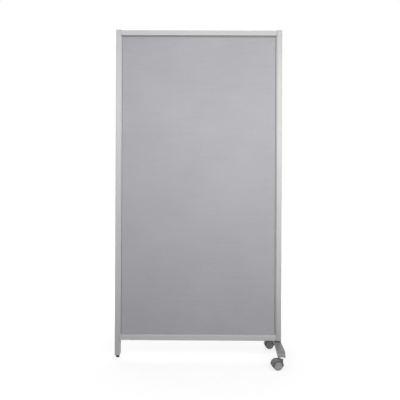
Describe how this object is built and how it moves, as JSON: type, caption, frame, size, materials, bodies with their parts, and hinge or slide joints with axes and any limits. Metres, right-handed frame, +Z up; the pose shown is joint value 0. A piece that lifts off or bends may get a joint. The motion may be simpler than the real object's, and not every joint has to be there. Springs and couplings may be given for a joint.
{
  "type": "rolling partition",
  "caption": "Tall office screen with a fabric panel in a hollow metal frame, standing on a levelling glide and an arched foot with swivel casters.",
  "frame": {"origin": "on the floor under the middle of the screen", "axes": "+Z up, +X along the screen towards the caster foot, -Y towards the front as pictured"},
  "size_m": [0.912, 0.413, 1.8],
  "materials": {
    "frame_aluminium": "satin silver-grey coating",
    "cap_plastic": "moulded, fine satin",
    "insert_casting": "as cast",
    "plated_steel": "zinc plated",
    "panel_fabric": "plain weave, stretched and bonded",
    "hardboard": "pressed hardboard",
    "gasket_rubber": "soft extruded strip",
    "core_wood": "planed softwood",
    "black_plastic": "moulded",
    "foot_paint": "satin grey paint on a die casting",
    "bright_zinc": "bright zinc plated",
    "axle_steel": "drawn steel",
    "hood_plastic": "moulded nylon",
    "wheel_plastic": "moulded nylon",
    "tyre_rubber": "soft grey tread"
  },
  "bodies": {
    "root": {"left_post": "frame_aluminium", "right_post": "frame_aluminium", "top_rail": "frame_aluminium", "bottom_rail": "frame_aluminium", "left_top_cap": "cap_plastic", "right_top_cap": "cap_plastic", "corner_insert_top_left": "insert_casting", "corner_insert_top_right": "insert_casting", "corner_insert_bottom_left": "insert_casting", "corner_insert_bottom_right": "insert_casting", "frame_screws": "plated_steel", "access_plugs": "cap_plastic", "front_fabric": "panel_fabric", "rear_fabric": "panel_fabric", "front_board": "hardboard", "rear_board": "hardboard", "front_gasket": "gasket_rubber", "rear_gasket": "gasket_rubber", "core_left_stile": "core_wood", "core_right_stile": "core_wood", "core_top_rail": "core_wood", "core_bottom_rail": "core_wood", "core_cross_rails": "core_wood", "left_post_plug": "cap_plastic", "glide_nut": "plated_steel", "right_post_insert": "insert_casting", "foot_spacer": "black_plastic", "caster_foot": "foot_paint", "foot_bolt": "plated_steel", "foot_dowels": "plated_steel", "front_caster_stem": "bright_zinc", "rear_caster_stem": "bright_zinc"},
    "glide_foot": {"glide_pad": "black_plastic"},
    "glide_screw": {"glide_stem": "plated_steel"},
    "front_caster": {"front_caster_hood": "hood_plastic", "front_caster_axle": "axle_steel"},
    "front_caster_outer_roller": {"front_caster_outer_wheel": "wheel_plastic", "front_caster_outer_tyre": "tyre_rubber"},
    "front_caster_inner_roller": {"front_caster_inner_wheel": "wheel_plastic", "front_caster_inner_tyre": "tyre_rubber"},
    "rear_caster": {"rear_caster_hood": "hood_plastic", "rear_caster_axle": "axle_steel"},
    "rear_caster_outer_roller": {"rear_caster_outer_wheel": "wheel_plastic", "rear_caster_outer_tyre": "tyre_rubber"},
    "rear_caster_inner_roller": {"rear_caster_inner_wheel": "wheel_plastic", "rear_caster_inner_tyre": "tyre_rubber"}
  },
  "joints": [
    {"name": "glide_height", "type": "slide", "parent": "root", "child": "glide_foot", "axis": [0, 0, -1], "range_m": [0, 0.012]},
    {"name": "glide_turn", "type": "hinge", "parent": "glide_foot", "child": "glide_screw", "pos_m": [-0.441, 0, 0.03], "axis": [0, 0, -1], "range_deg": [0, 3456]},
    {"name": "front_caster_swivel", "type": "hinge", "parent": "root", "child": "front_caster", "pos_m": [0.4355, -0.178, 0.066], "axis": [0, 0, 1], "continuous": true},
    {"name": "front_caster_outer_spin", "type": "hinge", "parent": "front_caster", "child": "front_caster_outer_roller", "pos_m": [0.41309, -0.18317, 0.025], "axis": [-0.225, 0.9744, 0], "continuous": true},
    {"name": "front_caster_inner_spin", "type": "hinge", "parent": "front_caster", "child": "front_caster_inner_roller", "pos_m": [0.41309, -0.18317, 0.025], "axis": [-0.225, 0.9744, 0], "continuous": true},
    {"name": "rear_caster_swivel", "type": "hinge", "parent": "root", "child": "rear_caster", "pos_m": [0.4355, 0.178, 0.066], "axis": [0, 0, 1], "continuous": true},
    {"name": "rear_caster_outer_spin", "type": "hinge", "parent": "rear_caster", "child": "rear_caster_outer_roller", "pos_m": [0.4125, 0.178, 0.025], "axis": [0, 1, 0], "continuous": true},
    {"name": "rear_caster_inner_spin", "type": "hinge", "parent": "rear_caster", "child": "rear_caster_inner_roller", "pos_m": [0.4125, 0.178, 0.025], "axis": [0, 1, 0], "continuous": true}
  ],
  "couplings": [
    {"joint": "glide_turn", "follows": "glide_height", "rad_per_m": 5026.5}
  ]
}
